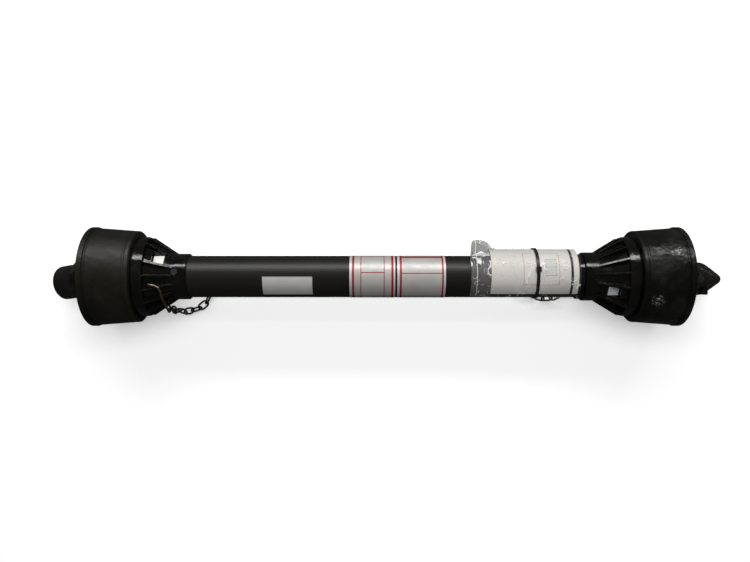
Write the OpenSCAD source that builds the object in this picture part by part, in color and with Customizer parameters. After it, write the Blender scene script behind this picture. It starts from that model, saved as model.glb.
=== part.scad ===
// PTO drive shaft with its safety guard, lying on its two guard bells.
// Millimetres. X runs along the shaft, Z is up, the floor is Z = 0.
// The tractor end is at -X and the implement end is at +X.

/* [Shaft] */
// Distance between the two joint centres, closed
cross_span = 860; // [820:1:1100]
// Roll of both joints' arms about the shaft
arm_roll = 45; // [0:5:90]
// Tractor joint: swing of the cross, then of the outer yoke
tractor_a = 22; // [-28:0.5:28]
tractor_b = -11.4; // [-28:0.2:28]
// Implement joint: swing of the cross, then of the outer yoke
implement_a = 28.2; // [-28.5:0.1:28.5]
implement_b = -28.2; // [-28.5:0.1:28.5]

/* [Guard tubes] */
// Outside diameter of the outer guard tube
tube_d = 63; // [56:1:75]
// Wall of both guard tubes
tube_wall = 2.5; // [2:0.1:3.5]

/* [Bell and cone] */
// Outside diameter of the bell at its lip
bell_d = 150; // [140:1:180]
// Length of the soft bell
bell_len = 72; // [60:1:90]
// Wall of the bell and of the cone
shell_wall = 3; // [2.4:0.1:4]
// Length of the glossy ring band behind the bell
band_len = 16; // [12:1:26]
// Length of the ribbed cage
cage_len = 37; // [30:1:45]
// Length of the collar on the guard tube
collar_len = 21; // [18:1:26]
// Thickness of a cage rib
rib_t = 3.2; // [2.4:0.1:4]
// Roll of the first window, tractor cone, then implement cone
tractor_window = 39; // [-180:1:180]
implement_window = -34; // [-180:1:180]
// How much further back the guard runs on the longer implement yoke
implement_back = 6; // [0:0.5:12]

/* [Joints] */
// Diameter of a bearing cup
cup_d = 23.8; // [22:0.1:27]
// Half of the distance over two opposite cups
cup_reach = 30.65; // [29:0.05:34]
// Diameter of the splined hub
hub_d = 52; // [48:1:60]
// Joint centre to the mouth of the splined hub
hub_reach = 81; // [76:1:100]
// Reach of the push pin's boss from the hub's axis
boss_reach = 42.5; // [38:0.5:46]
// Spline bore: major diameter, minor diameter and slot width
spline_major = 34.9; // [30:0.1:35.5]
spline_minor = 30; // [26:0.1:31]
slot_w = 8.6; // [7:0.1:9.5]

/* [Labels and papers] */
// Length of the first and of the second wrap-round label
label_a_len = 68; // [50:1:75]
label_b_len = 72; // [50:1:80]
// Length of the tag sticker
tag_len = 74; // [60:1:90]
// Length and thickness of the rolled booklet
book_len = 129; // [100:1:140]
book_t = 3.2; // [2:0.1:4]

/* [Chain] */
// Wire of the chain links and pitch from link to link
wire_d = 3; // [2.4:0.1:3.6]
pitch = 13; // [12:0.5:16]

/* [Hidden] */
$fn = 48;
e = 0.02;
fit = 0.06;
floor_z = bell_d / 2;
bell_r = bell_d / 2;
tube_r = tube_d / 2;
half = cross_span / 2;
mouth_out = 16;

// Drive line radii, from the guard tubes inward
inner_guard_r = tube_r - tube_wall - 0.5;
prof_r = inner_guard_r - tube_wall - 2.5;
groove_r = prof_r + 3.8;
neck_r = groove_r + 2.7;
prof_rc = prof_r * 0.404;
prof_wall = prof_r * 0.17;
male_rc = prof_rc - prof_wall - 0.25;
male_wall = male_rc * 0.62;
prof_c = prof_r - prof_rc;

// Stations along one end, outward from the joint centre; inboard is negative
u_mouth = mouth_out;
u_bell = u_mouth - bell_len;
u_band = u_bell - 1;
u_cage = u_band - band_len;
u_collar = u_cage - cage_len;
u_end = u_collar - collar_len;
u_hub_end = u_collar + 3;
u_tab = (u_cage + u_collar) / 2 + 1;
u_tube = u_collar + 1;
u_screw = u_collar - 4;
screw_bays = [-27.5, 92.5, 212.5];
tube_end = half + u_end - implement_back;

// Cone radii
band_r = max(bell_r * 0.8, 57);
snap_r = band_r - 4;
cage_top = band_r - 1;
wall_r = band_r - 9;
collar_r = tube_r + shell_wall + 0.1;
implement_collar_r = collar_r + 2;
tab_r = neck_r + 8.6;
screw_r = 1.94;

// Joint sizes
cup_r = cup_d / 2;
ear_r = cup_r + 5.1;
ear_in = ear_r + 4;
ear_out = cup_reach + 5.4;
pocket_r = ear_out + 3.5;
trunnion_r = cup_r * 0.64;
hub_r = hub_d / 2;
boss_r = hub_r * 0.25;
boss_c = boss_reach - boss_r;
pin_u = hub_reach - 19;
pin_off = spline_minor / 2 + 6;
pin_r = 6.4;
pin_side = hub_r * 0.65;

// Papers lie on the tube at these stations and centre offsets
label_a_x = -57;
label_b_x = label_a_x + label_a_len + 3;
tag_x = -186;
book_gap = 11.4;
book_x = tube_end - book_gap - book_len;
book_off = 3.2;
book_in = tube_r + book_off + 0.3;
book_out = book_in + book_t;
film_t = 0.5;
film_out = book_out + film_t + 0.15;
tie_w = 4.8;
tie_t = 1.3;
tie_in = 66.3;
tie_x = book_x + tie_in;
bag_x = book_x - 29.8;
bag_len = book_len + 32.6;
link_r = wire_d * 1.75;
link_straight = (pitch + wire_d) / 2 + 0.35 - link_r;
hook_r = 1.9;
centre_shift = 0.71;

// Frames of the two ends. In an end's own frame +X points outward.
module lift() {
  translate([centre_shift, 0, floor_z]) children();
}

module tractor_end() {
  lift() translate([-half, 0, 0]) rotate([0, 0, 180]) children();
}

module implement_end() {
  lift() translate([half, 0, 0]) children();
}

module implement_guard() {
  implement_end() translate([-implement_back, 0, 0]) children();
}

module tractor_swing(a, b) {
  tractor_end() rotate([arm_roll, 0, 0]) rotate([0, a, 0]) rotate([0, 0, b]) children();
}

module implement_swing(a, b) {
  implement_end() rotate([arm_roll, 0, 0]) rotate([0, a, 0]) rotate([0, 0, b]) children();
}

// Turns a profile of [station, radius] points about the shaft
module turned(points) {
  rotate([0, 90, 0]) rotate([0, 0, 90]) rotate_extrude() polygon([for (p = points) [p[1], p[0]]]);
}

module tube_x(x0, x1, r_out, r_in) {
  turned([[x0, r_in], [x1, r_in], [x1, r_out], [x0, r_out]]);
}

module rod_x(x0, x1, r) {
  translate([x0, 0, 0]) rotate([0, 90, 0]) cylinder(h = x1 - x0, r = r);
}

// A stretch of shell about the X axis, from roll f0 to roll f1 measured from +Z towards +Y
module wrap(x0, len, r_in, r_out, f0, f1) {
  translate([x0, 0, 0]) rotate([0, 90, 0]) rotate([0, 0, 180 - f1]) rotate_extrude(angle = f1 - f0)
    translate([r_in, 0]) square([r_out - r_in, len]);
}

// Soft bell: lip bead at the mouth with a groove behind it, tapering wall, flange at the rear
module bell() {
  rear_r = max(bell_r - 6, snap_r + shell_wall + 3.5);
  turned([
    [u_mouth, bell_r - shell_wall - 1.5],
    [u_mouth, bell_r - 1],
    [u_mouth - 1, bell_r],
    [u_mouth - 7.5, bell_r],
    [u_mouth - 8.5, bell_r - 2.4],
    [u_mouth - 10.5, bell_r - 2.4],
    [u_mouth - 11.5, bell_r - 1.6],
    [u_bell + 10, rear_r + 0.6],
    [u_bell + 8.6, rear_r - 0.6],
    [u_bell + 6.8, rear_r - 0.6],
    [u_bell + 5.6, rear_r + 0.4],
    [u_bell + 1.5, rear_r],
    [u_bell, rear_r - 1.5],
    [u_bell, snap_r + fit],
    [u_bell + shell_wall, snap_r + fit],
    [u_bell + shell_wall, rear_r - shell_wall - 1.2],
    [u_bell + shell_wall + 2, rear_r - shell_wall],
    [u_mouth - 12, bell_r - 1.6 - shell_wall],
    [u_mouth - 3, bell_r - shell_wall - 1.5]
  ]);
}

// Stiff cone: snap neck inside the bell, glossy band, ribbed cage with three windows, collar
module cone(outer, bore, window, hook_roll) {
  difference() {
    rotate([-window, 0, 0]) cone_body(outer, bore);
    rotate([-hook_roll, 0, 0]) translate([u_cage - 7, 0, 0]) cylinder(h = band_r, r = 3.4);
  }
}

module cone_body(outer, bore) {
  collar_in = bore;
  difference() {
    union() {
      turned([
        [u_bell + shell_wall + 4.5, snap_r - 3],
        [u_bell + shell_wall + 4.5, snap_r + 0.6],
        [u_bell + shell_wall + 0.3, snap_r + 2],
        [u_bell + shell_wall + 0.3, snap_r],
        [u_band, snap_r],
        [u_band, band_r - 1],
        [u_band - 1, band_r],
        [u_cage + 4, band_r],
        [u_cage, band_r - 1.4],
        [u_cage, wall_r],
        [u_collar + 2, collar_r],
        [u_collar, outer],
        [u_end + 1, outer],
        [u_end, outer - 1],
        [u_end, collar_in],
        [u_collar - e, collar_in],
        [u_collar - e, tube_r + 0.6],
        [u_collar + 3, tube_r + 0.6],
        [u_cage + 2, wall_r - shell_wall],
        [u_cage + 6, band_r - 5],
        [u_band - 5, snap_r - 3]
      ]);
      for (bay = [0, 120, 240]) {
        for (f = [16.7, 38.35, 60, -38.35, -16.7]) {
          rotate([bay + f, 0, 0]) rib(outer);
        }
      }
    }
    for (bay = [0, 120, 240]) {
      rotate([bay, 0, 0]) window_cut();
    }
    for (bay = screw_bays) {
      rotate([bay, 0, 0]) translate([u_screw, 0, outer - 2]) cylinder(h = 10, r = 5.5);
    }
    screw_holes();
  }
}

// One cage rib: a web that stands on the sloping wall from the band to the collar
module rib(outer) {
  rotate([90, 0, 0]) linear_extrude(height = rib_t, center = true) polygon([
    [u_cage + 0.5, wall_r - 1.5],
    [u_cage + 0.5, cage_top],
    [u_cage - 2.5, cage_top],
    [u_collar - 1, outer + 0.9],
    [u_collar - 1, outer - 0.6],
    [u_collar + 3, collar_r - 1]
  ]);
}

module window_cut() {
  translate([u_tab - 8.6, -8.6, tube_r - 6]) cube([17.2, 17.2, band_r]);
}

module screw_holes() {
  for (bay = screw_bays) {
    rotate([bay, 0, 0]) translate([u_screw, 0, 0]) cylinder(h = band_r, r = screw_r + fit);
  }
}

// Nylon ring that runs in the yoke's groove, with three tabs that lock in the windows
module bearing_ring(window) {
  rotate([-window, 0, 0]) difference() {
    union() {
      tube_x(u_tab - 3.5, u_tab + 3.5, neck_r + 3.6, groove_r + 0.3);
      for (bay = [0, 120, 240]) {
        rotate([bay, 0, 0]) translate([u_tab - 7.6, -7.6, neck_r + 1.2]) cube([15.2, 15.2, tab_r - neck_r - 1.2]);
      }
    }
    for (bay = [0, 120, 240]) {
      rotate([bay, 0, 0]) translate([u_tab - 4.6, -4.6, tab_r - 1.2]) cube([9.2, 9.2, 4]);
    }
  }
}

// Three cross-head screws through the collar
module collar_screws(outer, foot, window) {
  rotate([-window, 0, 0]) for (bay = screw_bays) {
    rotate([bay, 0, 0]) translate([u_screw, 0, 0]) difference() {
      union() {
        translate([0, 0, foot]) cylinder(h = outer - foot - 1, r = screw_r);
        translate([0, 0, outer - 2]) cylinder(h = 1.9, r = 4.6);
      }
      translate([-2.6, -0.6, outer - 1.1]) cube([5.2, 1.2, 3]);
      translate([-0.6, -2.6, outer - 1.1]) cube([1.2, 5.2, 3]);
    }
  }
}

// Rounded triangle of the drive tubes: three corner circles joined by flat sides
module triangle2d(c, r) {
  polygon([for (i = [0:2]) for (s = [-60, 60]) [c * cos(120 * i) + (r - 0.003) * cos(120 * i + s),
    c * sin(120 * i) + (r - 0.003) * sin(120 * i + s)]]);
  for (i = [0:2]) {
    rotate([0, 0, 120 * i]) translate([c, 0]) circle(r = r);
  }
}

module triangle_x(x0, x1, r) {
  translate([x0, 0, 0]) rotate([0, 90, 0]) linear_extrude(height = x1 - x0) triangle2d(prof_c, r);
}

// Two ears on a base with a round pocket between them, and the cup bores with their clip grooves
module fork(neck, base_u) {
  difference() {
    intersection() {
      rotate([90, 0, 0]) linear_extrude(height = 4 * hub_r, center = true) polygon([
        [-ear_r, ear_out - 9], [-ear_r + 9, ear_out], [ear_r + 5, ear_out], [base_u, neck + 2], [base_u + 7, neck + 2],
        [base_u + 7, -neck - 2], [base_u, -neck - 2], [ear_r + 5, -ear_out], [-ear_r + 9, -ear_out], [-ear_r, 9 - ear_out]
      ]);
      linear_extrude(height = 4 * ear_out, center = true) union() {
        circle(r = ear_r);
        polygon([[0, -ear_r], [0, ear_r], [ear_r + 4, ear_r + 0.8], [base_u, neck + 0.5], [base_u + 7, neck + 0.5],
          [base_u + 7, -neck - 0.5], [base_u, -neck - 0.5], [ear_r + 4, -ear_r - 0.8]]);
      }
      turned([[-ear_r - 1, 0], [-ear_r - 1, ear_out + 12], [ear_r + 4, ear_out + 9], [base_u, neck + 1.5],
        [base_u + 6.5, neck - 0.6], [base_u + 6.5, 0]]);
    }
    cylinder(h = 2 * ear_in, r = pocket_r, center = true);
    cylinder(h = 4 * ear_out, r = cup_r, center = true);
    for (s = [-1, 1]) {
      translate([0, 0, s * (cup_reach + 0.85)]) cylinder(h = 1.6, r = cup_r + 0.9, center = true);
    }
  }
}

// Tube yoke: ears along Y, hub inboard with the bearing ring's groove and a triangular socket
module inner_yoke(socket_r, socket_roll, back) {
  difference() {
    union() {
      rotate([0, 0, 180]) rotate([90, 0, 0]) fork(neck_r, pocket_r + 4);
      turned([
        [-pocket_r - 3, 0], [-pocket_r - 3, neck_r - 4], [-pocket_r - 7, neck_r], [u_tab - back + 4.6, neck_r],
        [u_tab - back + 4.6, groove_r], [u_tab - back - 4.6, groove_r], [u_tab - back - 4.6, neck_r],
        [u_hub_end - back + 1, neck_r], [u_hub_end - back, neck_r - 1], [u_hub_end - back, 0]
      ]);
    }
    rotate([socket_roll, 0, 0]) {
      triangle_x(u_hub_end - back - 1, -pocket_r - 14, socket_r);
      translate([u_cage + 5, 0, 0]) cylinder(h = 4 * neck_r, r = 5, center = true);
    }
    rod_x(-pocket_r - 15, -pocket_r + 2, 5);
  }
}

// Slotted spring pin through the yoke and its drive tube
module roll_pin(socket_roll) {
  rotate([socket_roll, 0, 0]) translate([u_cage + 5, 0, 0]) difference() {
    cylinder(h = 2 * neck_r - 2, r = 4.95, center = true);
    cylinder(h = 3 * neck_r, r = 3, center = true);
    translate([0, -0.5, -2 * neck_r]) cube([8, 1, 4 * neck_r]);
  }
}

// Cross with four trunnions, relieved arms and a threaded boss for the nipple
module cross() {
  difference() {
    union() {
      for (a = [0, 90]) {
        rotate([a, 0, 0]) {
          cylinder(h = 2 * (cup_reach - 2.9), r = trunnion_r, center = true);
          cylinder(h = 2 * (ear_in - 2), r = trunnion_r + 2.2, center = true);
        }
      }
      sphere(r = trunnion_r + 5.5);
    }
    rotate([45, 0, 0]) {
      cylinder(h = 4 * cup_r, r = 2.5);
      translate([0, 0, trunnion_r + 5.2]) cylinder(h = 4 * cup_r, r = 4.8);
    }
    for (a = [0, 90, 180, 270]) {
      rotate([a, 0, 0]) translate([0, 0, cup_reach - 6]) cylinder(h = 9, r = 2);
    }
  }
}

// Two cups on the local Z axis, open towards the cross
module cups() {
  for (s = [0, 180]) {
    rotate([s, 0, 0]) difference() {
      translate([0, 0, ear_in - 1.5]) cylinder(h = cup_reach - ear_in + 1.5, r = cup_r - 0.03);
      translate([0, 0, ear_in - 3]) cylinder(h = cup_reach - ear_in + 0.35, r = trunnion_r + 0.05);
    }
  }
}

// Two open snap rings outside the cups
module clips() {
  for (s = [-1, 1]) {
    translate([0, 0, s * (cup_reach + 0.75)]) difference() {
      cylinder(h = 1.4, r = cup_r + 0.85, center = true);
      cylinder(h = 4, r = cup_r - 2.6, center = true);
      translate([0, -3, -3]) cube([cup_r * 2, 6, 6]);
    }
  }
}

module nipple() {
  rotate([45, 0, 0]) {
    cylinder(h = trunnion_r + 6, r = 2.44);
    translate([0, 0, trunnion_r + 5.26]) cylinder(h = 3, r = 4, $fn = 6);
    translate([0, 0, trunnion_r + 8.2]) cylinder(h = 2, r = 2);
    translate([0, 0, trunnion_r + 10.4]) sphere(r = 2.3);
  }
}

// Pear outline of the splined hub, its nose towards local +Y after the boss's own roll
module pear2d() {
  lean = asin((hub_r - boss_r) / boss_c);
  side = hub_r - 0.003;
  nose = boss_r - 0.003;
  circle(r = hub_r);
  translate([0, boss_c]) circle(r = boss_r);
  polygon([
    [-side * cos(lean), side * sin(lean)], [side * cos(lean), side * sin(lean)],
    [nose * cos(lean), boss_c + nose * sin(lean)], [-nose * cos(lean), boss_c + nose * sin(lean)]
  ]);
}

// Splined yoke: ears along Z, pear hub with six slots and the push pin's cross bore
module outer_yoke(boss_roll) {
  difference() {
    union() {
      fork(hub_r, pocket_r + 6);
      rotate([boss_roll, 0, 0]) intersection() {
        translate([pocket_r + 3.5, 0, 0]) rotate([0, 90, 0]) linear_extrude(height = hub_reach - pocket_r) pear2d();
        turned([
          [pocket_r + 3, 0], [pocket_r + 3, hub_r + 0.8], [pin_u - 16, hub_r + 0.8], [pin_u - 8, boss_reach + 1],
          [pin_u + 9, boss_reach + 1], [hub_reach - 2.4, hub_r + 0.6], [hub_reach, hub_r - 2], [hub_reach, 0]
        ]);
      }
    }
    rod_x(2, hub_reach + 1, spline_minor / 2);
    intersection() {
      rod_x(1, hub_reach + 2, spline_major / 2);
      for (i = [0:5]) {
        rotate([60 * i, 0, 0]) translate([0, -slot_w / 2, 0]) cube([hub_reach + 3, slot_w, spline_major]);
      }
    }
    turned([[hub_reach - 4, 0], [hub_reach - 4, spline_minor / 2 - 1.5], [hub_reach + 1, spline_major / 2 + 2.1], [hub_reach + 1, 0]]);
    rotate([boss_roll, 0, 0]) translate([pin_u, pin_off, 0]) cylinder(h = 4 * hub_r, r = pin_r + 0.06, center = true);
  }
}

// Push pin: body that locks in the shaft's groove, waist that frees it when pressed, button outside
module push_pin(boss_roll) {
  rotate([boss_roll, 0, 0]) translate([pin_u, pin_off, 0]) {
    translate([0, 0, -5]) cylinder(h = 12, r = pin_r);
    translate([0, 0, 6.9]) cylinder(h = 6.2, r = pin_r - 2.4);
    translate([0, 0, 13]) cylinder(h = pin_side - 6, r = pin_r);
    translate([0, 0, pin_side + 7 - 0.1]) cylinder(h = 1.2, r1 = pin_r, r2 = pin_r - 1);
  }
}

// Plug that closes the boss behind the pin's spring
module pin_plug(boss_roll) {
  rotate([boss_roll, 0, 0]) translate([pin_u, pin_off, -pin_side + 0.4]) difference() {
    cylinder(h = 3.2, r = pin_r + 0.06);
    translate([0, 0, -1]) cylinder(h = 2, r = 2.5, $fn = 6);
  }
}

// Round wire between two points, with a ball at its start
module wire(p, q, r) {
  d = q - p;
  len = norm(d);
  translate(p) sphere(r = r + 0.02);
  translate(p) rotate([0, acos(d[2] / len), atan2(d[1], d[0])]) cylinder(h = len, r = r);
}

module wire_path(points, r) {
  for (i = [0:len(points) - 2]) {
    wire(points[i], points[i + 1], r);
  }
  translate(points[len(points) - 1]) sphere(r = r + 0.02);
}

// One link: two half rings and two straights, long side on X
module link() {
  for (s = [0, 180]) {
    rotate([0, 0, s]) {
      translate([link_straight, 0, 0]) rotate([0, 0, -90]) rotate_extrude(angle = 180)
        translate([link_r, 0]) circle(r = wire_d / 2);
      translate([-link_straight, link_r, 0]) rotate([0, 90, 0]) cylinder(h = 2 * link_straight, r = wire_d / 2);
    }
  }
}

// One pitch along a heading of [azimuth, climb], and the chain's point after n links
function stride(h) = pitch * [cos(h[0]) * cos(h[1]), sin(h[0]) * cos(h[1]), sin(h[1])];
function chain_point(start, heads, n) = n == 0 ? start : chain_point(start, heads, n - 1) + stride(heads[n - 1]);

// Links along their headings, each turned 90 degrees from the one before it
module chain(start, heads, roll) {
  for (i = [0:len(heads) - 1]) {
    m = chain_point(start, heads, i) + stride(heads[i]) / 2;
    translate(m) rotate([0, -heads[i][1], heads[i][0]]) rotate([roll + 90 * (i % 2), 0, 0]) link();
  }
}

module tractor_bell() {
  color([0.09, 0.09, 0.08]) tractor_end() bell();
}

module implement_bell() {
  color([0.09, 0.09, 0.08]) implement_guard() bell();
}

module tractor_cone() {
  color([0.04, 0.04, 0.04]) tractor_end() cone(collar_r, tube_r + fit, -tractor_window, 14);
}

module implement_cone() {
  color([0.04, 0.04, 0.04]) implement_guard() cone(implement_collar_r, inner_guard_r + 4, implement_window, 178.7);
}

module tractor_bearing_ring() {
  color([0.92, 0.91, 0.88]) tractor_end() bearing_ring(-tractor_window);
}

module implement_bearing_ring() {
  color([0.75, 0.76, 0.76]) implement_guard() bearing_ring(implement_window);
}

module tractor_collar_screws() {
  color([0.3, 0.3, 0.3]) tractor_end() collar_screws(collar_r, tube_r - tube_wall + 0.2, -tractor_window);
}

module implement_collar_screws() {
  color([0.3, 0.3, 0.3]) implement_guard() collar_screws(implement_collar_r, inner_guard_r + 0.2, implement_window);
}

module tractor_inner_yoke() {
  color([0.2, 0.2, 0.2]) tractor_swing(0, 0) inner_yoke(male_rc + 0.1, 120 - 2 * arm_roll, 0);
}

module implement_inner_yoke() {
  color([0.2, 0.2, 0.2]) implement_swing(0, 0) inner_yoke(prof_rc + 0.1, 0, implement_back);
}

module tractor_roll_pin() {
  color([0.5, 0.5, 0.5]) tractor_swing(0, 0) roll_pin(120 - 2 * arm_roll);
}

module implement_roll_pin() {
  color([0.5, 0.5, 0.5]) implement_swing(0, 0) roll_pin(0);
}

module tractor_cross() {
  color([0.55, 0.55, 0.55]) tractor_swing(tractor_a, 0) cross();
}

module implement_cross() {
  color([0.55, 0.55, 0.55]) implement_swing(implement_a, 0) cross();
}

module tractor_inner_cups() {
  color([0.6, 0.6, 0.6]) tractor_swing(0, 0) rotate([90, 0, 0]) cups();
}

module implement_inner_cups() {
  color([0.6, 0.6, 0.6]) implement_swing(0, 0) rotate([90, 0, 0]) cups();
}

module tractor_outer_cups() {
  color([0.6, 0.6, 0.6]) tractor_swing(tractor_a, tractor_b) cups();
}

module implement_outer_cups() {
  color([0.6, 0.6, 0.6]) implement_swing(implement_a, implement_b) cups();
}

module tractor_inner_clips() {
  color([0.3, 0.3, 0.3]) tractor_swing(0, 0) rotate([90, 0, 0]) clips();
}

module implement_inner_clips() {
  color([0.3, 0.3, 0.3]) implement_swing(0, 0) rotate([90, 0, 0]) clips();
}

module tractor_outer_clips() {
  color([0.3, 0.3, 0.3]) tractor_swing(tractor_a, tractor_b) clips();
}

module implement_outer_clips() {
  color([0.3, 0.3, 0.3]) implement_swing(implement_a, implement_b) clips();
}

module tractor_nipple() {
  color([0.8, 0.7, 0.4]) tractor_swing(tractor_a, 0) nipple();
}

module implement_nipple() {
  color([0.8, 0.7, 0.4]) implement_swing(implement_a, 0) nipple();
}

// Roll of each hub's boss: down and away at the tractor end, up and out at the implement end
tractor_boss = 225.6;
implement_boss = 53;

module tractor_outer_yoke() {
  color([0.1, 0.1, 0.1]) tractor_swing(tractor_a, tractor_b) outer_yoke(tractor_boss);
}

module implement_outer_yoke() {
  color([0.1, 0.1, 0.1]) implement_swing(implement_a, implement_b) outer_yoke(implement_boss);
}

module tractor_push_pin() {
  color([0.7, 0.65, 0.5]) tractor_swing(tractor_a, tractor_b) push_pin(tractor_boss);
}

module implement_push_pin() {
  color([0.7, 0.65, 0.5]) implement_swing(implement_a, implement_b) push_pin(implement_boss);
}

module tractor_pin_plug() {
  color([0.5, 0.5, 0.5]) tractor_swing(tractor_a, tractor_b) pin_plug(tractor_boss);
}

module implement_pin_plug() {
  color([0.5, 0.5, 0.5]) implement_swing(implement_a, implement_b) pin_plug(implement_boss);
}

// Bush that fills the implement collar down to the smaller inner guard tube
module implement_bush() {
  color([0.06, 0.06, 0.06]) implement_guard() difference() {
    tube_x(u_end + 0.5, u_collar - 0.5, inner_guard_r + 4 - fit, inner_guard_r + fit);
    rotate([-implement_window, 0, 0]) screw_holes();
  }
}

module outer_guard_tube() {
  color([0.03, 0.03, 0.03]) difference() {
    lift() tube_x(-half - u_tube, tube_end - 3, tube_r, tube_r - tube_wall);
    tractor_end() rotate([tractor_window, 0, 0]) screw_holes();
  }
}

// Cap that closes the outer tube's free end down to the inner tube
module tube_end_ring() {
  color([0.05, 0.05, 0.05]) lift() turned([
    [tube_end - 8, tube_r + fit], [tube_end - 8, collar_r - 0.6], [tube_end - 1, collar_r - 0.6],
    [tube_end - 1, inner_guard_r + 0.15], [tube_end - 2.9, inner_guard_r + 0.15], [tube_end - 2.9, tube_r + fit]
  ]);
}

module inner_guard_tube() {
  color([0.03, 0.03, 0.03]) lift() tube_x(-half - u_end + 3, half + u_tube - implement_back, inner_guard_r, inner_guard_r - tube_wall);
}

module drive_tube(x0, x1, r, wall) {
  rotate([arm_roll, 0, 0]) difference() {
    triangle_x(x0, x1, r);
    triangle_x(x0 - 1, x1 + 1, r - wall);
  }
}

module male_drive_tube() {
  color([0.35, 0.35, 0.35]) lift() difference() {
    drive_tube(-half + pocket_r + 14.1, half + u_cage - 20, male_rc, male_wall);
    translate([-half - u_cage - 5, 0, 0]) rotate([arm_roll - 120, 0, 0]) cylinder(h = 4 * tube_r, r = 5, center = true);
  }
}

module female_drive_tube() {
  color([0.35, 0.35, 0.35]) lift() difference() {
    drive_tube(-half - u_hub_end + 4, half - pocket_r - 14.1, prof_rc, prof_wall);
    translate([half + u_cage + 5, 0, 0]) rotate([arm_roll, 0, 0]) cylinder(h = 4 * tube_r, r = 5, center = true);
  }
}

module label_a() {
  color([0.75, 0.75, 0.76]) lift() wrap(label_a_x, label_a_len, tube_r + fit, tube_r + 0.3, -100, 100);
}

module label_b() {
  color([0.75, 0.75, 0.76]) lift() wrap(label_b_x, label_b_len, tube_r + fit, tube_r + 0.3, -100, 100);
}

module tag() {
  color([0.85, 0.85, 0.86]) lift() wrap(tag_x, tag_len, tube_r + fit, tube_r + 0.3, -59, 0);
}

// The booklet lies over the tube; its curl is centred a little to the +Y side
module booklet() {
  color([0.9, 0.9, 0.9]) lift() translate([0, book_off, 0]) wrap(book_x, book_len, book_in, book_out, -50, 96);
}

// Clear bag over the booklet, with its empty end and a flap that stands off at the side
module bag() {
  color([0.85, 0.88, 0.9]) lift() translate([0, book_off, 0]) {
    wrap(bag_x, bag_len, book_out + 0.15, film_out, -62, 112);
    translate([bag_x, film_out - 3, 8]) cube([24, 18, film_t]);
  }
}

// Cable tie round the booklet, the bag and the tube, with its head on top.
// Over the papers it follows their curl, then it runs straight to the tube's underside.
tie_mid = film_out + tie_t / 2;
tie_low = tube_r + tie_t / 2;

module tie_side(f, turn) {
  point = [book_off + tie_mid * sin(f), tie_mid * cos(f)];
  reach = norm(point);
  touch = atan2(point[0], point[1]) + turn * acos(tie_low / reach);
  run = sqrt(reach * reach - tie_low * tie_low);
  rotate([-touch, 0, 0]) translate([tie_x + 0.02, turn > 0 ? -run - 0.4 : -1, tube_r + 0.12]) cube([tie_w - 0.04, run + 1.4, tie_t - 0.06]);
}

module cable_tie() {
  color([0.04, 0.04, 0.04]) lift() union() {
    translate([0, book_off, 0]) wrap(tie_x, tie_w, film_out + 0.08, film_out + 0.08 + tie_t, -62, 112);
    wrap(tie_x, tie_w, tube_r + 0.08, tube_r + 0.08 + tie_t, 150, 273);
    tie_side(112, 1);
    tie_side(-62, -1);
    translate([tie_x - 1.2, book_off + 3, film_out + 0.4]) cube([tie_w + 2.4, 8, tie_t + 3]);
  }
}

// Hooks: bent wire from a hole in the cage wall round to an open eye that holds the first link.
// Each bend is a station, a roll about the shaft and a height over the cage's root radius.
hook_t = -half - u_cage + 7;
hook_i = half + u_cage - 7 - implement_back;
function bend(x, roll, rise) = [x, -(wall_r + rise) * sin(roll), (wall_r + rise) * cos(roll)];
tractor_hook_path = [
  bend(hook_t, 14, -8), bend(hook_t, 14, -1), bend(hook_t + 9, 15, 1), bend(hook_t + 15, 19, 0.5),
  bend(hook_t + 17, 27, -1), bend(hook_t + 17.5, 42.5, -2.2), bend(hook_t + 18, 62.4, -3.6), bend(hook_t + 18, 81, -0.4),
  bend(hook_t + 18, 90, 2.5), bend(hook_t + 18, 95.4, 2.2), bend(hook_t + 18, 98.7, -1.4), bend(hook_t + 18, 96.2, -4.7)
];
implement_hook_path = [
  bend(hook_i - 1.2, 181.3, -8), bend(hook_i - 1.2, 181.3, -1), bend(hook_i - 10, 181.1, 2), bend(hook_i - 22, 180, -1),
  bend(hook_i - 29, 178.8, -5), bend(hook_i - 33.5, 177.4, -7), bend(hook_i - 37.5, 176.3, -4.9), bend(hook_i - 38.5, 175.4, -0.8),
  bend(hook_i - 36, 175.3, 1.2), bend(hook_i - 31, 175.1, 1.2), bend(hook_i - 28.5, 174.9, -0.8)
];
tractor_heads = [[-60, -84], [-50, -80], [-30, -76], [-10, -62], [5, -46.5], [20, -19], [42, 0], [64, 0], [86, 0], [105, 0]];
implement_heads = [[210, -66], [203, -29], [218, -4.5], [228, 0], [205, 0], [182, 0], [165, 0], [150, 0], [160, 0], [175, 0]];

module tractor_hook() {
  color([0.8, 0.65, 0.25]) lift() wire_path(tractor_hook_path, hook_r);
}

module implement_hook() {
  color([0.8, 0.65, 0.25]) lift() wire_path(implement_hook_path, hook_r);
}

module tractor_chain() {
  color([0.25, 0.22, 0.18]) lift() chain(bend(hook_t + 18, 96, -1.2), tractor_heads, 30);
}

module implement_chain() {
  color([0.25, 0.22, 0.18]) lift() chain(bend(hook_i - 33.5, 175.1, -0.8), implement_heads, 40);
}

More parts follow.
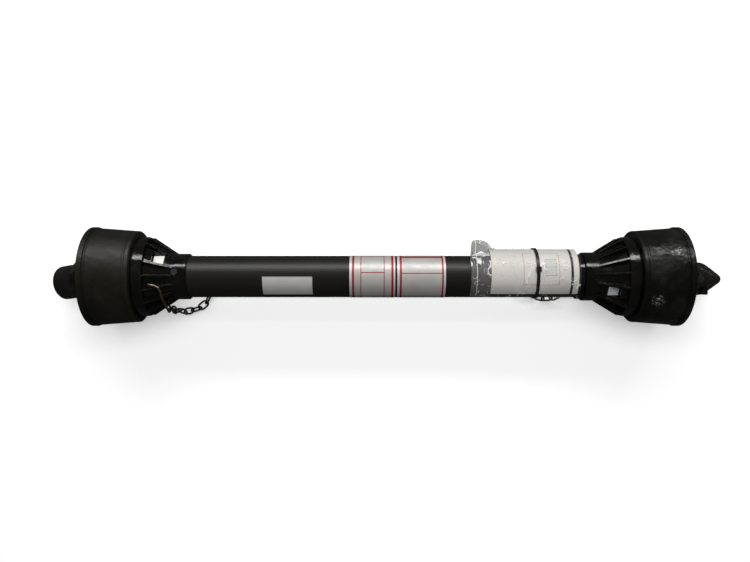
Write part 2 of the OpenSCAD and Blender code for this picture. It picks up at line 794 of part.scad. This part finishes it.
tractor_bell();
tractor_cone();
tractor_bearing_ring();
tractor_collar_screws();
tractor_inner_yoke();
tractor_roll_pin();
tractor_cross();
tractor_inner_cups();
tractor_outer_cups();
tractor_inner_clips();
tractor_outer_clips();
tractor_nipple();
tractor_outer_yoke();
tractor_push_pin();
tractor_pin_plug();
tractor_hook();
tractor_chain();
implement_bell();
implement_cone();
implement_bearing_ring();
implement_collar_screws();
implement_inner_yoke();
implement_roll_pin();
implement_cross();
implement_inner_cups();
implement_outer_cups();
implement_inner_clips();
implement_outer_clips();
implement_nipple();
implement_outer_yoke();
implement_push_pin();
implement_pin_plug();
implement_hook();
implement_chain();
implement_bush();
outer_guard_tube();
tube_end_ring();
inner_guard_tube();
male_drive_tube();
female_drive_tube();
label_a();
label_b();
tag();
booklet();
bag();
cable_tie();
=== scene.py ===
import math

import bmesh
import bpy
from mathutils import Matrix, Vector, noise


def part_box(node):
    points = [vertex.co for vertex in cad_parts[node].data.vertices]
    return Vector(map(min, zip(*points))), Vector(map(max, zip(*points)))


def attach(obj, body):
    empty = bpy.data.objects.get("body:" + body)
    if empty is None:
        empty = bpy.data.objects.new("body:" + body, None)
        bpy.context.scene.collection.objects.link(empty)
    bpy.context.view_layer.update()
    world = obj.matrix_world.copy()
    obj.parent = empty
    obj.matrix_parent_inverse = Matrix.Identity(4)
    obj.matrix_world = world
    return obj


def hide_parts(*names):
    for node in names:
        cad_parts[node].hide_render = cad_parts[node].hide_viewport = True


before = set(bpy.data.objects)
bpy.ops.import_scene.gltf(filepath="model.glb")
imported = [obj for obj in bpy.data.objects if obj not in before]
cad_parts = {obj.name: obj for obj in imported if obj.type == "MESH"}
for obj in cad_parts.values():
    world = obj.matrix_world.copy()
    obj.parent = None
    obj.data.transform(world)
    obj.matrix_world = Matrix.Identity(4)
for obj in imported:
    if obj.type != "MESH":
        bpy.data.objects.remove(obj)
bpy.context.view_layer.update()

# Camera. The shaft lies on the floor and is seen from straight above, from about 1.2 m,
# with the middle of the shaft a little to the right of the picture's centre.
camera_data = bpy.data.cameras.new("camera")
camera_data.sensor_width = 36.0
camera_data.lens = 35.5
camera_data.dof.use_dof = False
camera = bpy.data.objects.new("camera", camera_data)
camera.location = (-0.0183, -0.0068, 1.2)
camera.rotation_euler = (0.0, 0.0, 0.0)
bpy.context.scene.collection.objects.link(camera)
bpy.context.scene.camera = camera
bpy.context.scene.view_settings.view_transform = "Standard"


# Soft guard bells. Each is one moulding of soft dark plastic, pushed over the snap lip of its
# cone. The skin is dull and grained, cloudy from handling, with white scuffs at the implement end.
def finish(name, colour, rough, metal=0.0, specular=0.5):
    """A new material, with its node tree and its main shader."""
    material = bpy.data.materials.new(name)
    material.use_nodes = True
    tree = material.node_tree
    shader = tree.nodes["Principled BSDF"]
    shader.inputs["Base Color"].default_value = (*colour, 1.0)
    shader.inputs["Roughness"].default_value = rough
    shader.inputs["Metallic"].default_value = metal
    shader.inputs["Specular IOR Level"].default_value = specular
    return material, tree, shader


def add(tree, kind, inputs=None, **settings):
    """A node of that kind; inputs are values or the outputs that feed it."""
    new = tree.nodes.new(kind)
    for key, value in settings.items():
        setattr(new, key, value)
    for key, value in (inputs or {}).items():
        if isinstance(value, bpy.types.NodeSocket):
            tree.links.new(value, new.inputs[key])
        else:
            new.inputs[key].default_value = value
    return new


def reckon(tree, operation, *values, clamp=False):
    """The result of one sum on values or outputs."""
    inputs = dict(enumerate(values))
    return add(tree, "ShaderNodeMath", inputs, operation=operation, use_clamp=clamp).outputs[0]


def place(tree, scale=(1.0, 1.0, 1.0)):
    """Position on the shaft in metres, stretched by scale."""
    where = add(tree, "ShaderNodeTexCoord").outputs["Object"]
    return add(tree, "ShaderNodeMapping", {"Vector": where, "Scale": scale}).outputs["Vector"]


def cloud(tree, size, detail=4.0, stretch=(1.0, 1.0, 1.0), rough=0.55):
    """Noise whose patches are about 1/size metres across."""
    inputs = {"Vector": place(tree, stretch), "Scale": size, "Detail": detail, "Roughness": rough}
    return add(tree, "ShaderNodeTexNoise", inputs).outputs["Fac"]


def over(tree, mask, under, top):
    """Colour top laid over colour under where mask is 1."""
    mix = add(tree, "ShaderNodeMix", {"Factor": mask}, data_type="RGBA")
    for side, value in (("A", under), ("B", top)):
        socket = [s for s in mix.inputs if s.name == side and s.type == "RGBA"][0]
        if isinstance(value, tuple):
            socket.default_value = (*value, 1.0)
        else:
            tree.links.new(value, socket)
    return [s for s in mix.outputs if s.type == "RGBA"][0]


def ramp(tree, fac, low, high, a, b):
    """Goes from a to b as fac goes from low to high; a and b are numbers or colours."""
    inputs = {"Value": fac, "From Min": low, "From Max": high}
    if isinstance(a, tuple):
        step = add(tree, "ShaderNodeMapRange", inputs).outputs["Result"]
        return over(tree, step, a, b)
    inputs.update({"To Min": a, "To Max": b})
    return add(tree, "ShaderNodeMapRange", inputs).outputs["Result"]


def tint(tree, shader, colour):
    """The surface takes this colour."""
    tree.links.new(colour, shader.inputs["Base Color"])


def polish(tree, shader, patches, low, high, smooth, dull):
    """Roughness goes from smooth to dull as the patches go from low to high."""
    tree.links.new(ramp(tree, patches, low, high, smooth, dull), shader.inputs["Roughness"])


def emboss(tree, shader, height, strength, distance):
    """Height as bump on the shader, on top of any bump it has."""
    inputs = {"Height": height, "Strength": strength, "Distance": distance}
    bump = add(tree, "ShaderNodeBump", inputs)
    if shader.inputs["Normal"].links:
        tree.links.new(shader.inputs["Normal"].links[0].from_socket, bump.inputs["Normal"])
    tree.links.new(bump.outputs["Normal"], shader.inputs["Normal"])


def soften(tree, shader, radius):
    """Light catches the edges as if they were rounded by radius."""
    rounded = add(tree, "ShaderNodeBevel", {"Radius": radius}, samples=4)
    tree.links.new(rounded.outputs["Normal"], shader.inputs["Normal"])


def dress(material, *names):
    """Gives CAD nodes this material."""
    for name in names:
        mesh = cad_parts[name].data
        mesh.materials.clear()
        mesh.materials.append(material)


def scuff(tree, centre, radius, size):
    """Mask of small broken marks within radius of a point."""
    away = add(tree, "ShaderNodeVectorMath", {0: place(tree), 1: centre}, operation="DISTANCE")
    near = ramp(tree, away.outputs["Value"], radius * 0.4, radius, 1.0, 0.0)
    marks = ramp(tree, cloud(tree, size, 3.0), 0.54, 0.6, 0.0, 1.0)
    return reckon(tree, "MULTIPLY", near, marks)


def bell_skin(name, dark, pale, rough, dents, scuffs):
    """Dull grained plastic with cloudy patches; scuffs are (centre, radius, size) of white ones."""
    material, tree, shader = finish(name, dark, rough, specular=0.4)
    soften(tree, shader, 0.0012)
    skin = ramp(tree, cloud(tree, 15.0, 7.0, rough=0.62), 0.46, 0.7, dark, pale)
    drag = cloud(tree, 30.0, 8.0, (1.0, 7.0, 7.0), 0.75)
    skin = over(tree, ramp(tree, drag, 0.62, 0.76, 0.0, 0.35), skin, DRAG_MARK)
    for centre, radius, size in scuffs:
        skin = over(tree, scuff(tree, centre, radius, size), skin, SCUFF_WHITE)
    tint(tree, shader, skin)
    polish(tree, shader, cloud(tree, 18.0, 6.0), 0.3, 0.7, rough - 0.1, rough + 0.12)
    emboss(tree, shader, cloud(tree, 900.0, 2.0), 0.15, 0.0004)
    emboss(tree, shader, cloud(tree, 22.0, 3.0), 1.0, dents)
    return material


DRAG_MARK = (0.08, 0.077, 0.068)
SCUFF_WHITE = (0.3, 0.29, 0.27)
TRACTOR_DENTS = 0.0022
IMPLEMENT_DENTS = 0.006
dress(bell_skin("tractor bell plastic", (0.008, 0.0075, 0.0055), (0.019, 0.0175, 0.013),
                0.42, TRACTOR_DENTS, []), "tractor_bell")
dress(bell_skin("implement bell plastic", (0.0032, 0.0032, 0.0027), (0.019, 0.0185, 0.016),
                0.36, IMPLEMENT_DENTS, [
                    ((0.4165, 0.034, 0.134), 0.012, 300.0),
                    ((0.3895, -0.034, 0.134), 0.011, 420.0),
                ]), "implement_bell")

# Stiff support cones, with the implement collar's bush and the outer tube's end ring.
# They are glossy black injection mouldings; the three windows show the bearing ring's tabs.
cone_plastic, tree, shader = finish("cone plastic", (0.0035, 0.0035, 0.003), 0.16)
soften(tree, shader, 0.0011)
tint(tree, shader, ramp(tree, cloud(tree, 35.0, 5.0), 0.35, 0.7,
                        (0.0025, 0.0025, 0.002), (0.006, 0.0057, 0.005)))
polish(tree, shader, cloud(tree, 70.0, 6.0), 0.4, 0.75, 0.1, 0.28)
emboss(tree, shader, cloud(tree, 110.0, 2.0), 0.4, 0.0008)
dress(cone_plastic, "tractor_cone", "implement_cone", "implement_bush", "tube_end_ring")


# Bearing rings. White nylon at the tractor end and grey at the implement end; each runs in its
# yoke's groove and is locked in the cone by three square tabs.
def nylon(name, colour, dirt):
    """Milky nylon with a little grime."""
    material, tree, shader = finish(name, colour, 0.42)
    grime = ramp(tree, cloud(tree, 90.0, 6.0), 0.52, 0.72, 0.0, dirt)
    tint(tree, shader, over(tree, grime, colour, tuple(c * 0.55 for c in colour)))
    shader.inputs["Subsurface Weight"].default_value = 0.15
    shader.inputs["Subsurface Radius"].default_value = (0.002, 0.002, 0.002)
    emboss(tree, shader, cloud(tree, 500.0, 3.0), 0.2, 0.0003)
    return material


dress(nylon("white nylon", (0.8, 0.78, 0.74), 0.35), "tractor_bearing_ring")
dress(nylon("grey nylon", (0.5, 0.51, 0.52), 0.45), "implement_bearing_ring")

# Guard tubes. Black extruded plastic with faint draw lines along them; the outer one carries the
# labels and papers, the inner one is seen only when the shaft is drawn out.
tube_plastic, tree, shader = finish("tube plastic", (0.011, 0.01, 0.009), 0.27)
draw_lines = cloud(tree, 60.0, 5.0, (0.03, 6.0, 6.0))
tint(tree, shader, ramp(tree, cloud(tree, 14.0, 6.0, (0.4, 1.0, 1.0)), 0.35, 0.7,
                        (0.008, 0.0072, 0.0066), (0.0135, 0.0118, 0.0108)))
polish(tree, shader, draw_lines, 0.3, 0.7, 0.36, 0.48)
emboss(tree, shader, draw_lines, 0.12, 0.0003)
emboss(tree, shader, cloud(tree, 45.0, 3.0, (0.25, 1.0, 1.0)), 0.2, 0.0006)
dress(tube_plastic, "outer_guard_tube", "inner_guard_tube")


# Steel of the drive line: drawn drive tubes, ground crosses, bearing cups and roll pins, and dark
# phosphated snap rings, collar screws and pin plugs.
def steel(name, dark, light, rough, grain, stretch=(1.0, 1.0, 1.0)):
    """Bare metal whose tone and polish wander, with a grain of 1/grain metres."""
    material, tree, shader = finish(name, light, rough, 1.0)
    tint(tree, shader, ramp(tree, cloud(tree, grain * 0.25, 6.0, stretch), 0.35, 0.68, dark, light))
    polish(tree, shader, cloud(tree, grain, 5.0, stretch), 0.3, 0.7, rough - 0.08, rough + 0.12)
    emboss(tree, shader, cloud(tree, grain * 2.0, 4.0, stretch), 0.25, 0.0003)
    return material


DRAWN_ALONG = (0.05, 3.0, 3.0)
dress(steel("drawn tube steel", (0.1, 0.095, 0.09), (0.2, 0.19, 0.18), 0.42, 120.0, DRAWN_ALONG),
      "male_drive_tube", "female_drive_tube")
ground = steel("ground steel", (0.36, 0.35, 0.33), (0.56, 0.55, 0.53), 0.3, 300.0)
phosphated = steel("phosphated steel", (0.05, 0.048, 0.045), (0.13, 0.125, 0.115), 0.45, 260.0)
for end in ("tractor", "implement"):
    dress(ground, end + "_cross", end + "_inner_cups", end + "_outer_cups", end + "_roll_pin")
    dress(phosphated, end + "_inner_clips", end + "_outer_clips", end + "_collar_screws",
          end + "_pin_plug")

# Yokes. Drop forgings in black paint, lumpy from the die, with the paint chipped down to brown
# steel; the inner ones are pinned to the drive tubes, the outer ones take the splined stubs.
forged, tree, shader = finish("black painted forging", (0.009, 0.008, 0.007), 0.28)
soften(tree, shader, 0.0016)
chips = ramp(tree, cloud(tree, 120.0, 8.0, rough=0.8), 0.66, 0.7, 0.0, 1.0)
paint = ramp(tree, cloud(tree, 40.0, 5.0), 0.35, 0.7,
             (0.006, 0.0056, 0.005), (0.015, 0.0135, 0.012))
tint(tree, shader, over(tree, chips, paint, (0.16, 0.13, 0.09)))
polish(tree, shader, cloud(tree, 60.0, 5.0), 0.3, 0.7, 0.18, 0.38)
emboss(tree, shader, cloud(tree, 60.0, 4.0), 0.8, 0.003)
emboss(tree, shader, cloud(tree, 240.0, 4.0), 0.35, 0.0005)
for end in ("tractor", "implement"):
    dress(forged, end + "_inner_yoke", end + "_outer_yoke")

# Hooks and grease nipples. Yellow zinc plate gone dull, with blotches of straw and rose; the hook
# holds the chain in the cone's wall.
zinc, tree, shader = finish("yellow zinc plate", (0.42, 0.34, 0.2), 0.36, 1.0)
straw = ramp(tree, cloud(tree, 150.0, 4.0), 0.38, 0.6, (0.32, 0.25, 0.13), (0.5, 0.44, 0.3))
rose = ramp(tree, cloud(tree, 210.0, 3.0), 0.56, 0.66, 0.0, 0.55)
tint(tree, shader, over(tree, rose, straw, (0.38, 0.29, 0.24)))
polish(tree, shader, cloud(tree, 260.0, 4.0), 0.3, 0.7, 0.28, 0.5)
emboss(tree, shader, cloud(tree, 600.0, 3.0), 0.2, 0.0002)
for end in ("tractor", "implement"):
    dress(zinc, end + "_hook", end + "_nipple")

# Push pins. Turned steel, blacked and greased; each locks its yoke on the stub shaft's groove
# and is pressed in by a thumb against its spring.
blacked, tree, shader = finish("blacked pin steel", (0.035, 0.033, 0.03), 0.34, 0.8)
tint(tree, shader, ramp(tree, cloud(tree, 180.0, 4.0), 0.35, 0.7,
                        (0.02, 0.019, 0.017), (0.06, 0.052, 0.042)))
polish(tree, shader, cloud(tree, 320.0, 4.0), 0.3, 0.7, 0.28, 0.48)
emboss(tree, shader, cloud(tree, 500.0, 3.0, (1.0, 1.0, 0.2)), 0.2, 0.0002)
dress(blacked, "tractor_push_pin", "implement_push_pin")

# Guard chains. Welded round-wire links, plated once and now dull and brown in the corners; the
# free end of each chain lies on the floor under the tube.
chain, tree, shader = finish("dull chain", (0.25, 0.22, 0.18), 0.42, 0.9)
rust = ramp(tree, cloud(tree, 240.0, 6.0), 0.5, 0.66, 0.0, 0.8)
tint(tree, shader, over(tree, rust, (0.2, 0.18, 0.15), (0.07, 0.045, 0.028)))
polish(tree, shader, cloud(tree, 300.0, 4.0), 0.3, 0.7, 0.32, 0.62)
emboss(tree, shader, cloud(tree, 700.0, 4.0), 0.3, 0.0003)
dress(chain, "tractor_chain", "implement_chain")

# Wrap-round labels. Silver film stuck round the outer tube, printed with red bars and thin red
# frames; the fields between them are left bare.
AXIS_Z = 0.075


def angle(tree, centre_y=0.0):
    """Degrees round the shaft from straight up towards +Y, and the position along the shaft."""
    spot = add(tree, "ShaderNodeSeparateXYZ", {"Vector": place(tree)})
    side = reckon(tree, "SUBTRACT", spot.outputs["Y"], centre_y)
    rise = reckon(tree, "SUBTRACT", spot.outputs["Z"], AXIS_Z)
    turn = reckon(tree, "ARCTAN2", side, rise)
    return reckon(tree, "DEGREES", turn), spot.outputs["X"]


def between(tree, value, low, high):
    """1 where value lies from low to high."""
    above = reckon(tree, "GREATER_THAN", value, low)
    below = reckon(tree, "LESS_THAN", value, high)
    return reckon(tree, "MULTIPLY", above, below)


def printed(tree, colour, along, turn, fields):
    """Colour with each field laid over it: (from, to) in metres and degrees, and its ink."""
    for (start, stop, low, high), ink in fields:
        across = between(tree, along, start, stop)
        round_it = between(tree, turn, low, high)
        colour = over(tree, reckon(tree, "MULTIPLY", across, round_it), colour, ink)
    return colour


def film_label(node, base, fields):
    """Film with printed fields, measured from the label's tractor-side edge."""
    material, tree, shader = finish(node + " film", base, FILM_ROUGH, 0.4)
    turn, along = angle(tree)
    along = reckon(tree, "SUBTRACT", along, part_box(node)[0][0])
    film = ramp(tree, cloud(tree, 55.0, 5.0), 0.3, 0.7, tuple(c * 0.9 for c in base), base)
    tint(tree, shader, printed(tree, film, along, turn, fields))
    polish(tree, shader, cloud(tree, 80.0, 5.0), 0.3, 0.7, FILM_ROUGH - 0.05, FILM_ROUGH + 0.1)
    emboss(tree, shader, cloud(tree, 220.0, 3.0), 0.15, 0.0003)
    dress(material, node)


FILM_ROUGH = 0.42
SILVER = (0.57, 0.555, 0.53)
PALE = (0.7, 0.69, 0.67)
RED = (0.36, 0.016, 0.026)
THIN_RED = (0.36, 0.035, 0.045)
ROUND = (-101, 101)
film_label("label_a", SILVER, [
    ((0.0002, 0.0026, *ROUND), PALE),
    ((0.0040, 0.0070, *ROUND), RED),
    ((0.0622, 0.0654, *ROUND), RED),
    ((0.0658, 0.0680, *ROUND), PALE),
    ((0.0164, 0.0176, *ROUND), THIN_RED),
    ((0.0510, 0.0522, *ROUND), THIN_RED),
    ((0.0170, 0.0516, 9.4, 11.9), THIN_RED),
    ((0.0170, 0.0516, 72, 75), THIN_RED),
])
film_label("label_b", SILVER, [
    ((0.0, 0.0026, *ROUND), PALE),
    ((0.0040, 0.0068, *ROUND), RED),
    ((0.0664, 0.0688, *ROUND), RED),
    ((0.0696, 0.0720, *ROUND), PALE),
    ((0.0054, 0.0676, 61, 72), RED),
    ((0.0054, 0.0676, 7.0, 9.4), RED),
])

# Tag sticker. A plain strip of silver-white film, stuck along the outer tube by its own glue,
# with a thin dark line along one edge and a fainter one near the other.
film_label("tag", (0.68, 0.675, 0.66), [
    ((0.0, 0.0740, -59.5, -57.3), (0.12, 0.12, 0.12)),
    ((0.0, 0.0740, -2.2, 0.5), (0.3, 0.3, 0.3)),
])

# Booklet. Coated white paper, folded and rolled over the tube inside its bag, printed with one
# dark stripe, a thin pink frame and a small outlined page.
ROLL_Y = 0.0032
PINK = (0.5, 0.2, 0.2)
GREY = (0.3, 0.3, 0.3)
paper, tree, shader = finish("booklet paper", (0.57, 0.555, 0.515), 0.5)
turn, along = angle(tree, ROLL_Y)
along = reckon(tree, "SUBTRACT", along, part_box("booklet")[0][0])
sheets = ramp(tree, cloud(tree, 20.0, 5.0), 0.3, 0.7, (0.53, 0.515, 0.475), (0.61, 0.595, 0.555))
tint(tree, shader, printed(tree, sheets, along, turn, [
    ((0.1171, 0.1209, -60, 100), (0.01, 0.01, 0.01)),
    ((0.0473, 0.1004, 54.5, 56), PINK),
    ((0.0473, 0.1004, -25, -23.5), PINK),
    ((0.0473, 0.0481, -25, 56), PINK),
    ((0.0996, 0.1004, -25, 56), PINK),
    ((0.0792, 0.0962, -4, 36), GREY),
    ((0.0800, 0.0954, -2.8, 34.8), (0.5, 0.5, 0.48)),
    ((0.0792, 0.0962, 15.6, 16.6), GREY),
]))
emboss(tree, shader, cloud(tree, 30.0, 4.0, (0.6, 1.0, 1.0)), 0.5, 0.0015)
emboss(tree, shader, cloud(tree, 700.0, 3.0), 0.1, 0.0002)
dress(paper, "booklet")


# Clear bag. Thin film drawn over the rolled booklet and creased by the tie; its empty end sticks
# out beside the tube as a crumpled lobe. It replaces the plain curved solid. The white glints on
# its folds are painted highlights.
def crease(point, size, seed):
    """Sharp-ridged folds, from 0 up."""
    spot = Vector(point) * size + Vector((seed, seed * 0.7, -seed))
    return abs(noise.noise(spot)) + 0.5 * abs(noise.noise(spot * 2.3))


BAG_X0, BAG_X1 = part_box("bag")[0][0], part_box("bag")[1][0]
BAG_R = 0.03875
COLUMNS, ROWS = 120, 84
FIRST_TURN, WRAP = -62, 174
EMPTY_END = 0.0285
SAG = 0.0034
film = bmesh.new()
grid = []
for i in range(COLUMNS + 1):
    x = BAG_X0 + (BAG_X1 - BAG_X0) * i / COLUMNS
    loose = 1.0 if x < BAG_X0 + 0.0292 else 0.0
    sag = SAG * loose * min(1.0, (BAG_X0 + 0.0312 - x) / 0.02)
    row = []
    for j in range(ROWS + 1):
        turn = math.radians(FIRST_TURN + WRAP * j / ROWS)
        puff = 0.0006 + 0.0011 * crease((x, turn * 0.03, 0.0), 75.0, 3.1)
        edge = 0.0010 * noise.noise(Vector((turn * 2.2, x * 30.0, 5.0)))
        reach = BAG_R + puff - sag
        y, z = ROLL_Y + reach * math.sin(turn), AXIS_Z + reach * math.cos(turn)
        row.append(film.verts.new((x + edge, y, z)))
    grid.append(row)
for i in range(COLUMNS):
    for j in range(ROWS):
        behind_lobe = i < COLUMNS * 0.17 and j > ROWS * 0.68
        if not behind_lobe:
            film.faces.new((grid[i][j], grid[i + 1][j], grid[i + 1][j + 1], grid[i][j + 1]))

# The lobe's two walls, each a fan of rings from its middle out to its edge.
LOBE_EDGE = [
    (0.0022, 0.0305), (0.0026, 0.0420), (0.0036, 0.0510), (0.0056, 0.0543),
    (0.0120, 0.0552), (0.0190, 0.0545), (0.0252, 0.0523), (0.0300, 0.0485),
    (0.0338, 0.0430), (0.0358, 0.0380), (0.0372, 0.0305),
]
LOBE_MIDDLE = Vector((BAG_X0 + 0.0185, 0.038))
LOBE_Z = AXIS_Z + 0.010
LOBE_SWELL = 0.0035
LOBE_RINGS = 10
for wall in (1.0, -1.0):
    rings = []
    for step in range(LOBE_RINGS):
        share = step / (LOBE_RINGS - 1.0)
        ring = []
        for x, y in LOBE_EDGE:
            flat = LOBE_MIDDLE.lerp(Vector((BAG_X0 + x, y)), share)
            swell = wall * LOBE_SWELL * math.sqrt(max(0.0, 1.0 - share ** 3))
            folds = crease((flat.x, flat.y, wall), 110.0, 7.7) - 0.4
            fold = 0.0022 * folds * (1.0 - 0.6 * share)
            ring.append(film.verts.new((flat.x, flat.y, LOBE_Z + swell + fold)))
        rings.append(ring)
    for inner, outer in zip(rings, rings[1:]):
        for k in range(len(LOBE_EDGE) - 1):
            film.faces.new((inner[k], outer[k], outer[k + 1], inner[k + 1]))
film_mesh = bpy.data.meshes.new("bag_film")
film.to_mesh(film_mesh)
film.free()
for face in film_mesh.polygons:
    face.use_smooth = True
bag = bpy.data.objects.new("bag_film", film_mesh)
bpy.context.scene.collection.objects.link(bag)

FILM_GREY = (0.42, 0.42, 0.4)
LOBE_GREY = (0.17, 0.17, 0.16)
# White of the painted highlights on the film's folds, also used for the thin weld seam line.
GLINT_AND_SEAM_WHITE = (0.8, 0.8, 0.78)
clear, tree, shader = finish("clear film", FILM_GREY, 0.14)
spot = add(tree, "ShaderNodeSeparateXYZ", {"Vector": place(tree)})
along, across = spot.outputs["X"], spot.outputs["Y"]
empty = between(tree, along, BAG_X0 - 0.01, BAG_X0 + EMPTY_END)
beside_tube = between(tree, across, 0.0305, 0.07)
lobe_end = between(tree, along, BAG_X0 - 0.01, BAG_X0 + 0.0400)
beside_booklet = between(tree, across, 0.0418, 0.07)
lobe = reckon(tree, "MAXIMUM", reckon(tree, "MULTIPLY", empty, beside_tube),
              reckon(tree, "MULTIPLY", lobe_end, beside_booklet))
haze = reckon(tree, "MULTIPLY_ADD", empty, 0.16, 0.05)
haze = reckon(tree, "MULTIPLY_ADD", lobe, 0.4, haze)
# Painted highlights: white streaks along the fold ridges stand in for the lamp's glints on the
# film, laid in as white colour and extra opacity; the thin band at the weld seam is the bag's real
# seam line.
weld_seam = between(tree, along, BAG_X0 + 0.0088, BAG_X0 + 0.0096)
glints_and_seam = weld_seam
for size, stretch, width in (
    (60.0, (1.0, 0.4, 0.4), 0.012),
    (75.0, (0.4, 1.0, 1.0), 0.010),
    (140.0, (1.0, 0.5, 0.5), 0.008),
):
    ridge = reckon(tree, "COMPARE", cloud(tree, size, 1.5, stretch, 0.4), 0.5, width)
    some = ramp(tree, cloud(tree, size * 0.5, 2.0), 0.53, 0.57, 0.0, 1.0)
    glints_and_seam = reckon(tree, "MAXIMUM", glints_and_seam, reckon(tree, "MULTIPLY", ridge, some))
solid = reckon(tree, "MULTIPLY_ADD", glints_and_seam, 0.62, haze, clamp=True)
tree.links.new(solid, shader.inputs["Alpha"])
tint(tree, shader, over(tree, glints_and_seam, over(tree, lobe, FILM_GREY, LOBE_GREY), GLINT_AND_SEAM_WHITE))
emboss(tree, shader, cloud(tree, 85.0, 5.0, (1.0, 0.7, 0.7), 0.6), 0.9, 0.0025)
emboss(tree, shader, cloud(tree, 300.0, 3.0), 0.3, 0.0004)
film_mesh.materials.append(clear)
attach(bag, "guard_tractor")
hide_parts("bag")

# Cable tie. One strap of black nylon round the papers and the tube, pulled tight through its
# own head.
strap, tree, shader = finish("tie nylon", (0.011, 0.011, 0.011), 0.36)
tint(tree, shader, ramp(tree, cloud(tree, 130.0, 4.0), 0.35, 0.7,
                        (0.009, 0.009, 0.009), (0.018, 0.018, 0.017)))
emboss(tree, shader, cloud(tree, 420.0, 3.0), 0.25, 0.0003)
dress(strap, "cable_tie")

# Floor. A wide white floor just under the shaft; it keeps the shaft's shadow, shows white to the
# camera and dark to what mirrors it.
FLOOR_HALF = 6
floor_mesh = bpy.data.meshes.new("floor")
floor_mesh.from_pydata([(-FLOOR_HALF, -FLOOR_HALF, 0), (FLOOR_HALF, -FLOOR_HALF, 0),
                        (FLOOR_HALF, FLOOR_HALF, 0), (-FLOOR_HALF, FLOOR_HALF, 0)],
                       [], [(0, 1, 2, 3)])
floor = bpy.data.objects.new("floor", floor_mesh)
floor.location.z = -0.0005
bpy.context.scene.collection.objects.link(floor)
floor_paint, tree, shader = finish("floor", (0.8, 0.8, 0.8), 0.9, specular=0.0)
rays = add(tree, "ShaderNodeLightPath").outputs
seen = reckon(tree, "MAXIMUM", rays["Is Camera Ray"], rays["Is Transmission Ray"])
glow = add(tree, "ShaderNodeEmission", {"Color": (1.0, 1.0, 1.0, 1.0), "Strength": 0.42})
white = add(tree, "ShaderNodeAddShader", {0: shader.outputs[0], 1: glow.outputs[0]})
mirrored = add(tree, "ShaderNodeBsdfDiffuse", {"Color": (0.05, 0.05, 0.05, 1.0)})
pick = add(tree, "ShaderNodeMixShader", {0: seen, 1: mirrored.outputs[0], 2: white.outputs[0]})
tree.links.new(pick.outputs[0], tree.nodes["Material Output"].inputs["Surface"])
floor_mesh.materials.append(floor_paint)


# Light. A long soft lamp off to the +Y side draws the light band along the tube, a large dim one
# hangs above, and the world is white to the camera but low on the shaft.
def lamp(name, stands_at, aim, size, watts, mirrored=True):
    """A rectangular soft lamp; one that isn't mirrored only lights what is matt."""
    data = bpy.data.lights.new(name, "AREA")
    data.shape = "RECTANGLE"
    data.size, data.size_y = size
    data.energy = watts
    made = bpy.data.objects.new(name, data)
    made.location = stands_at
    towards = Vector(aim) - Vector(stands_at)
    made.rotation_euler = towards.to_track_quat("-Z", "Y").to_euler()
    made.visible_glossy = mirrored
    bpy.context.scene.collection.objects.link(made)


lamp("long lamp", (0.0, 1.3, 0.95), (0.0, 0.0, 0.07), (2.6, 0.3), 23.0)
lamp("top lamp", (0.0, 0.5, 2.4), (0.0, 0.0, 0.0), (2.2, 1.2), 38.0, mirrored=False)
ON_MATT, ON_GLOSSY = 0.1, 0.04
world = bpy.data.worlds.new("world")
bpy.context.scene.world = world
world.use_nodes = True
tree = world.node_tree
background = tree.nodes["Background"].inputs
rays = add(tree, "ShaderNodeLightPath").outputs
dim = ramp(tree, rays["Is Glossy Ray"], 0.0, 1.0, ON_MATT, ON_GLOSSY)
background["Color"].default_value = (1.0, 1.0, 1.0, 1.0)
tree.links.new(reckon(tree, "MAXIMUM", rays["Is Camera Ray"], dim), background["Strength"])
